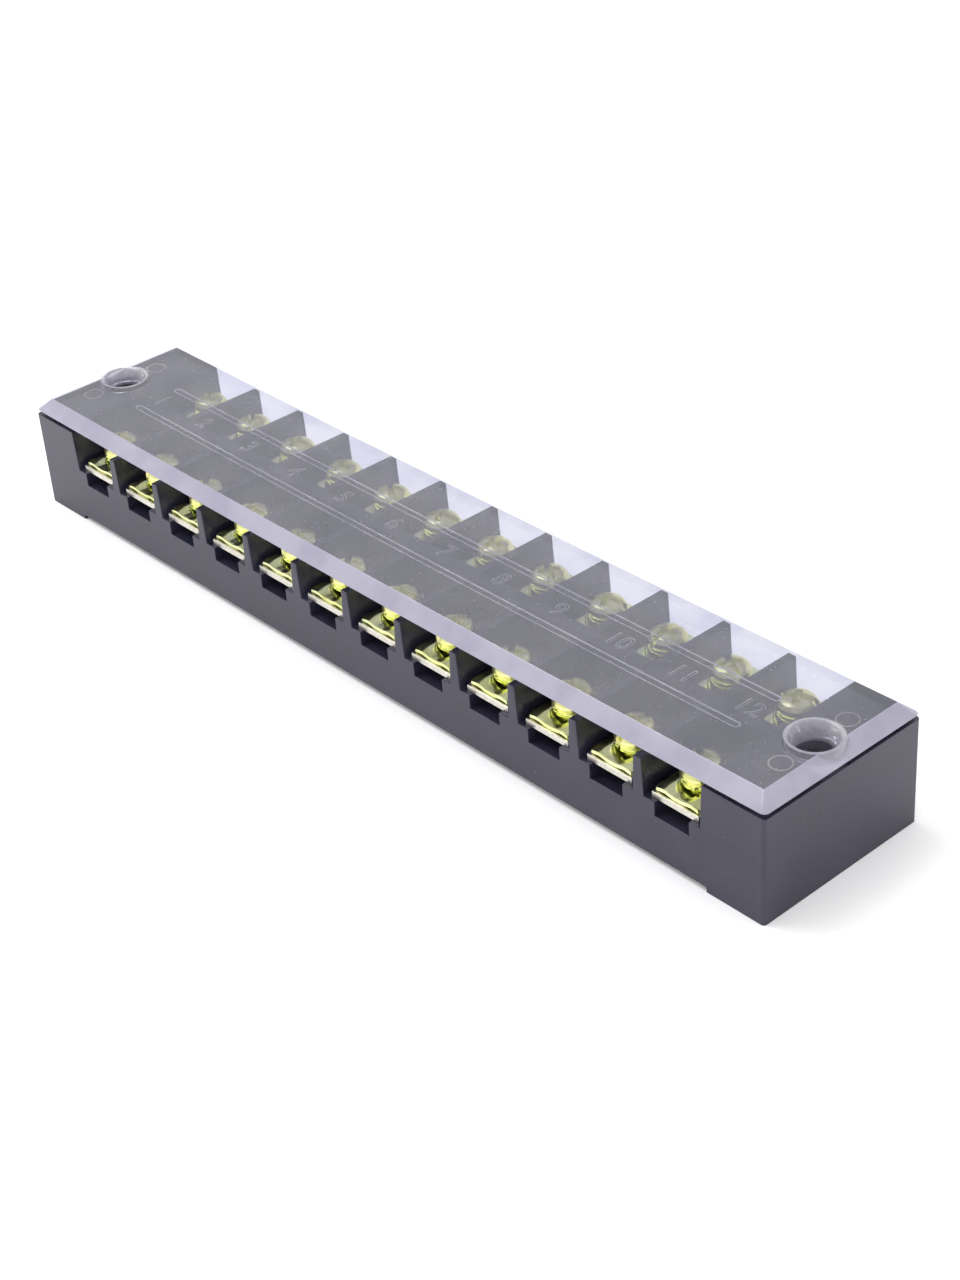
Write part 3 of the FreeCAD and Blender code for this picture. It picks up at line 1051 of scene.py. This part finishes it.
@dataclass
class Terminal:
    """One clamp: plate, split washer and screw, at one pole and side."""

    pole: int
    side: Side
    row: float = 9.2
    strap_top: float = 10.8
    plate_half_x: float = 4.1
    plate_half_y: float = 4.7
    plate_thickness: float = 0.62
    plate_edge: float = 0.14
    corner_cut: float = 0.25
    per_side: int = 20
    plate_rows: int = 9
    crest: float = 0.48
    valley: float = 0.6
    fade_from: float = 2.6
    hole: float = 1.85
    washer_thickness: float = 0.7
    washer_edge: float = 0.14
    washer_gap: float = 5.0
    washer_rows: int = 61
    clearance: float = 0.12
    head_radius: float = 2.9
    head_height: float = 2.1
    head_edge: float = 0.42
    dome: float = 0.75
    brim: float = 0.30
    head_rows: int = 19
    columns: int = 72
    slot_depth: float = 0.85
    slot_wall: tuple[float, float] = (0.34, 0.50)
    arm_depth: float = 1.15
    arm_wall: tuple[float, float] = (0.30, 0.48)
    arm_end: tuple[float, float] = (1.15, 1.75)
    shank_radius: float = 1.75
    thread_pitch: float = 0.6
    thread_depth: float = 0.30
    thread_rows: int = 56
    tip: float = 7.8

    @property
    def tag(self) -> str:
        """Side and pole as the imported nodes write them."""
        return f"{self.side.name.lower()}_{self.pole:02d}"

    @property
    def centre(self) -> np.ndarray:
        """The screw's axis."""
        return np.array([pole_x(self.pole), self.side.value * self.row, 0.0])

    @property
    def washer_seat(self) -> float:
        """Height of the washer's underside."""
        return self.strap_top + self.plate_thickness + self.crest

    def twist(self, step: int, rear: int, front: int) -> float:
        """A turn of its own for each terminal, in radians, from degrees a pole and a start for each side."""
        return math.radians(step * self.pole + (rear if self.side is Side.REAR else front))

    def build(
        self, plate: bpy.types.Material, screw: bpy.types.Material, washer: bpy.types.Material
    ) -> None:
        """Builds the three pieces and hangs each on its body.

        Args:
            plate: finish of the clamp plate.
            screw: finish of the screw.
            washer: finish of the washer.
        """
        clamp = make_piece(f"wire_clamp_{self.tag}", *self.plate_skin(), [plate], crease=40)
        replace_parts(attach(clamp, f"plate_{self.tag}"), f"clamp_plate_{self.tag}")
        spring = make_piece(f"split_washer_{self.tag}", *self.washer_skin(), [washer], crease=40)
        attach(spring, f"screw_{self.tag}")
        pan = make_piece(f"pan_screw_{self.tag}", *self.screw_skin(), [screw], crease=40)
        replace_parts(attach(pan, f"screw_{self.tag}"), f"terminal_screw_{self.tag}")

    def plate_skin(self) -> Skin:
        """The pressed plate with its hole.

        A point goes from the hole's circle out to the rectangle in a straight line, so the plate is a
        closed hoop: out along the underside, up over the rounded edge, back along the top and down the hole.
        The height is crest * sin^2 of pi * (|x| - valley) / span, which makes two gentle wire grooves, and
        it fades by half towards the front and the rear edge.

        Returns:
            Points and patches.
        """
        t = np.linspace(-1, 1, self.per_side, endpoint=False)
        one = np.ones_like(t)
        half = (self.plate_half_x, self.plate_half_y)
        sides = ((one, t), (-t, one), (-one, -t), (t, -one))
        border = np.concatenate([np.stack(side, axis=1) for side in sides]) * half
        at_corner = np.isclose(np.abs(border), half).all(axis=1, keepdims=True)
        border = border - np.sign(border) * self.corner_cut * at_corner
        angle = np.arctan2(border[:, 1], border[:, 0])
        inner = self.hole * np.stack([np.cos(angle), np.sin(angle)], axis=1)
        out = np.linspace(0, 1, self.plate_rows)[:, None, None]
        spread = inner + (border - inner) * out
        soft, shoulder = self.plate_edge, self.plate_edge * 0.3
        inset = border - np.sign(border) * soft
        low = np.concatenate([spread[:-1], inset[None]])
        inner = border - np.sign(border) * shoulder
        rim = np.stack([inner, border, border, inner])
        plan = np.concatenate([low, rim, low[::-1]])
        up = self.plate_thickness
        edge = [shoulder, soft, up - soft, up - shoulder]
        lift = np.concatenate([np.zeros(len(low)), edge, np.full(len(low), up)])
        x, y = np.abs(plan[..., 0]), np.abs(plan[..., 1])
        span = self.plate_half_x - self.valley
        fade = 1 - 0.5 * smooth_step(y, self.fade_from, self.plate_half_y)
        height = self.crest * fade * np.sin(math.pi * np.clip((x - self.valley) / span, 0, 1)) ** 2
        rings = np.concatenate([plan, (height + lift[:, None])[..., None]], axis=2)
        return hoop(rings + self.centre + (0, 0, self.strap_top))

    def washer_skin(self) -> Skin:
        """The split washer: a rounded square section carried round an arc that stops short of a full turn.

        Returns:
            Points and patches.
        """
        inner, outer = self.shank_radius + self.clearance, self.head_radius - self.clearance
        half = self.washer_thickness / 2
        section = rounded_rectangle((outer - inner) / 2, half, self.washer_edge, arc=3)
        first, last = math.radians(self.washer_gap), math.radians(360 - self.washer_gap)
        turn = self.twist(step=37, rear=90, front=215) + np.linspace(first, last, self.washer_rows)[:, None]
        rings = around((inner + outer) / 2 + section[:, 0], turn, self.washer_seat + half + section[:, 1])
        return inside_out(*tube(rings + self.centre))

    def screw_skin(self) -> Skin:
        """The pan-head screw as one closed skin.

        The head's top is a dome that falls by dome * (r / R)^2.4 and rounds over at its brim, less the
        depth of a slot right across and a shorter cross arm, both with steep smooth walls. The shank's
        radius falls by a triangle wave of height / pitch less the turn, which is its thread.

        Returns:
            Points and patches.
        """
        radius = self.head_radius
        seat = self.washer_seat + self.washer_thickness
        turn = np.arange(self.columns) * math.tau / self.columns
        last = radius - self.head_edge * (1 - np.array([0.45, 0.75, 0.93]))
        r_top = np.concatenate([np.linspace(0.06, radius - self.head_edge, self.head_rows), last])
        fall = self.dome * (r_top / radius) ** 2.4 + self.brim * smooth_step(r_top, radius - 0.55, radius)
        twist = self.twist(step=61, rear=20, front=130)
        x = r_top[:, None] * np.cos(turn - twist)
        y = r_top[:, None] * np.sin(turn - twist)
        slot = self.slot_depth * (1 - smooth_step(np.abs(y), *self.slot_wall))
        arm = self.arm_depth * (1 - smooth_step(np.abs(x), *self.arm_wall))
        cut = np.maximum(slot, arm * (1 - smooth_step(np.abs(y), *self.arm_end)))
        rows = [around(r_top[:, None], turn, seat + self.head_height - fall[:, None] - cut)]
        beside = np.abs(radius * np.sin(turn - twist))
        slot_side = self.slot_depth * (1 - smooth_step(beside, *self.slot_wall))
        upper = np.minimum(0.95, self.head_height - self.dome - self.brim - slot_side)
        skirt = ((radius, upper), (radius, 0.12), (radius - 0.1, 0.0), (self.shank_radius + 0.1, 0.0))
        rows += [around(r, turn, seat + z)[None] for r, z in skirt]
        depth = np.linspace(seat - 0.02, self.tip + 0.35, self.thread_rows)[:, None]
        wave = np.abs(((depth / self.thread_pitch - turn / math.tau) % 1) - 0.5) * 2
        rows.append(around(self.shank_radius - self.thread_depth * wave, turn, depth))
        rows.append(around(self.shank_radius - 0.55, turn, self.tip)[None])
        return inside_out(*tube(np.concatenate(rows) + self.centre))


# ---------------------------------------------------------------- the studio


@dataclass
class Studio:
    """White floor, white sky, soft lamps and the camera at the photograph's place."""

    centre: Triple = (231.531, -180.987, 190.038)
    right: Triple = (0.6675487, 0.74161283, -0.06625055)
    down: Triple = (0.36869007, -0.40654603, -0.83593538)
    forward: Triple = (-0.6468743, 0.53360166, -0.54481456)
    lens: float = 64.3576
    sky: float = 0.95
    floor_half: float = 3.0
    floor_glow: float = 0.12

    def build(self) -> None:
        """Sets up everything that isn't the object."""
        scene = bpy.context.scene
        scene.view_settings.view_transform = "Standard"
        self.place_camera(scene)
        self.lay_floor()
        self.light_sky(scene)
        self.hang_lamp("key_lamp", (-0.35, -0.15, 0.75), size=0.50, power=3.5)
        self.hang_lamp("rim_lamp", (0.15, 0.60, 0.50), size=0.35, power=0.7)

    def place_camera(self, scene: bpy.types.Scene) -> None:
        """Sets the camera from its three axes."""
        data = bpy.data.cameras.new("camera")
        data.lens = self.lens
        data.sensor_width = 36.0
        data.clip_start = 0.01
        camera = add_object("camera", data)
        axes = Matrix((self.right, [-v for v in self.down], [-v for v in self.forward])).transposed()
        camera.matrix_world = Matrix.Translation(Vector(self.centre) * MM) @ axes.to_4x4()
        scene.camera = camera

    def lay_floor(self) -> None:
        """A white floor, a little brighter to the camera, so that it ends in white round the shadow."""
        material, s, shader = new_material("studio_floor")
        shader.inputs["Base Color"].default_value = (0.93, 0.93, 0.94, 1.0)
        shader.inputs["Roughness"].default_value = 0.9
        shader.inputs["Specular IOR Level"].default_value = 0.0
        strength = s.math("MULTIPLY", s.seen(), self.floor_glow)
        glow = s.node("Emission", {"Color": (1.0, 1.0, 1.0, 1.0), "Strength": strength})
        both = s.node("AddShader", {0: shader.outputs[0], 1: glow.outputs[0]})
        s.join(both.outputs[0], s.tree.nodes["Material Output"].inputs["Surface"])
        mesh = bpy.data.meshes.new("studio_floor")
        half = self.floor_half
        corners = [(-half, -half, 0), (half, -half, 0), (half, half, 0), (-half, half, 0)]
        mesh.from_pydata(corners, [], [(0, 1, 2, 3)])
        mesh.materials.append(material)
        floor = add_object("studio_floor", mesh)

    def light_sky(self, scene: bpy.types.Scene) -> None:
        """An even white sky, at strength 1 for the camera and for clear plastic."""
        world = bpy.data.worlds.new("studio_sky")
        scene.world = world
        world.use_nodes = True
        s = Shading(world.node_tree)
        level = s.line(s.seen(), slope=1.0 - self.sky, offset=self.sky)
        back = world.node_tree.nodes["Background"]
        back.inputs["Color"].default_value = (1.0, 1.0, 1.0, 1.0)
        s.join(level, back.inputs["Strength"])

    def hang_lamp(self, name: str, place: Triple, size: float, power: float) -> None:
        """A square soft lamp that points at the strip.

        Args:
            name: name of the lamp.
            place: metres.
            size: edge in metres.
            power: watts.
        """
        data = bpy.data.lights.new(name, "AREA")
        data.size = size
        data.energy = power
        lamp = add_object(name, data)
        lamp.location = place
        lamp.rotation_euler = (-Vector(place)).to_track_quat("-Z", "Y").to_euler()


def main() -> None:
    """Builds the strip and its studio, and logs each stage as it is built."""
    logging.basicConfig(level=logging.INFO, format="%(message)s")
    Studio().build()
    Housing().build()
    log.info("housing: moulding and straps")
    ClearLid().build()
    log.info("cover: plate, ribs, pegs, pin marks and pole numbers")
    plate, screw, washer = CLAMP_ZINC.build(), SCREW_ZINC.build(), WASHER_ZINC.build()
    for side in Side:
        for pole in range(1, POLES + 1):
            Terminal(pole, side).build(plate, screw, washer)
        log.info("%s terminals: twelve clamps, washers and screws", side.name.lower())


if __name__ == "__main__":
    main()
